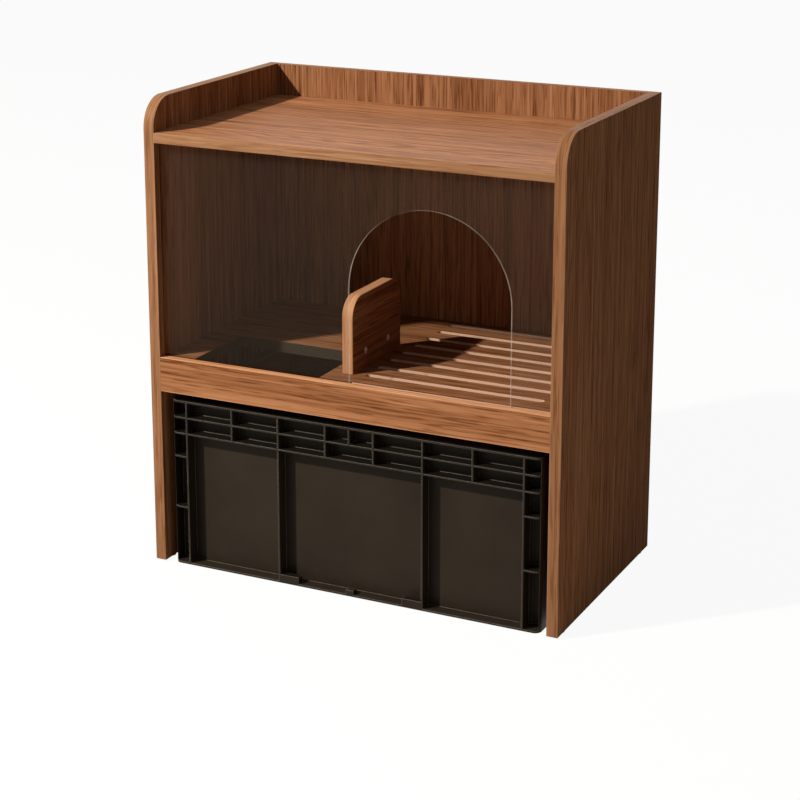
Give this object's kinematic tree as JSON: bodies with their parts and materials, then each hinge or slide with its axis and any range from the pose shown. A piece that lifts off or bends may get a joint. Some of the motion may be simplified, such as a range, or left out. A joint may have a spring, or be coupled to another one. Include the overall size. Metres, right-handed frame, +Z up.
{
  "type": "cat litter box cabinet",
  "caption": "Free-standing cabinet that hides a slide-out litter box under a slotted landing, with an arched cat doorway in a clear front and a tray top",
  "frame": {"origin": "on the ground under the middle of the cabinet's width and depth", "axes": "+X to the right seen from the front, +Y to the back, +Z up"},
  "size_m": [0.7, 0.4, 0.76],
  "materials": {
    "walnut_board": "matt walnut-look laminate",
    "walnut_band": "matt walnut-look edge banding",
    "clear_acrylic": "polished clear acrylic sheet",
    "black_plastic": "moulded black polypropylene, satin",
    "zinc_lock": "die-cast zinc",
    "zinc_steel": "zinc-plated steel",
    "beech_dowel": "fluted beech",
    "glide_plastic": "dark polyethylene"
  },
  "bodies": {
    "cabinet": {"acrylic_front_panel": "clear_acrylic", "back_panel": "walnut_board", "back_panel_edge_band": "walnut_band", "back_panel_screws": "zinc_steel", "baffle_cam_bolts": "zinc_steel", "baffle_cam_locks": "zinc_lock", "baffle_dowel": "beech_dowel", "baffle_edge_band": "walnut_band", "baffle_panel": "walnut_board", "floor_board": "walnut_board", "floor_board_cam_bolts": "zinc_steel", "floor_board_cam_locks": "zinc_lock", "floor_board_dowels": "beech_dowel", "foot_glides": "glide_plastic", "front_rail": "walnut_board", "front_rail_cam_bolts": "zinc_steel", "front_rail_cam_locks": "zinc_lock", "front_rail_dowels": "beech_dowel", "front_rail_edge_bands": "walnut_band", "rail_to_floor_dowels": "beech_dowel", "side_edge_band_left": "walnut_band", "side_edge_band_right": "walnut_band", "side_panel_left": "walnut_board", "side_panel_right": "walnut_board", "top_board": "walnut_board", "top_board_cam_bolts": "zinc_steel", "top_board_cam_locks": "zinc_lock", "top_board_dowels": "beech_dowel", "top_board_edge_band": "walnut_band"},
    "litter_box": {"litter_box": "black_plastic"}
  },
  "joints": [
    {"name": "litter_box_pull_out", "type": "slide", "parent": "cabinet", "child": "litter_box", "axis": [0, -1, 0], "range_m": [0, 0.42]}
  ]
}
